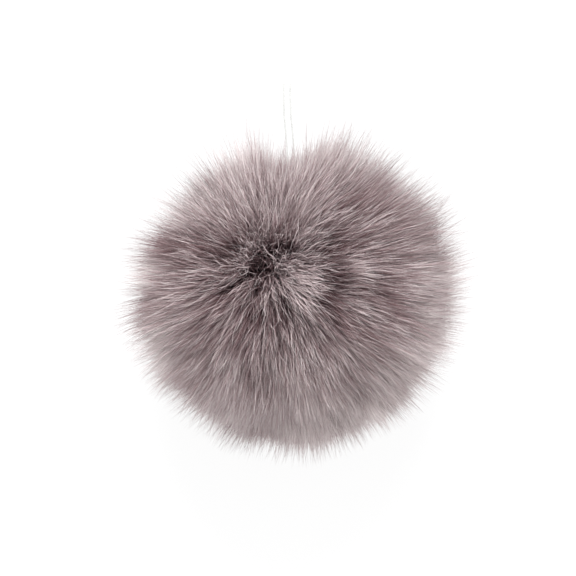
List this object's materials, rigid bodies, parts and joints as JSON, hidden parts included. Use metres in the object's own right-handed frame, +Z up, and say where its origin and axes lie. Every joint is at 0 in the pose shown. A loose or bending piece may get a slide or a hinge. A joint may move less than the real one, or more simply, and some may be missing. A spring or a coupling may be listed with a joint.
{
  "type": "pom pom",
  "caption": "Round pom pom of long soft fur that sweeps away from an off-centre crown, lying on its gathered base with the loose ends of its thread.",
  "frame": {"origin": "centre of the flat spot that the pom pom rests on, where its base is gathered", "axes": "+Z up from the flat spot to the crown, +X to the right and +Y away from the viewer in the picture, with the loose thread ends on the +Y side"},
  "size_m": [0.1301, 0.1677, 0.1168],
  "materials": {
    "fur": "long soft pile, mauve grey, darker at the roots and paler at the tips",
    "thread": "fine white sewing thread"
  },
  "bodies": {
    "root": {"fur_ball": "fur", "thread_end_left": "thread", "thread_end_right": "thread"}
  },
  "joints": []
}
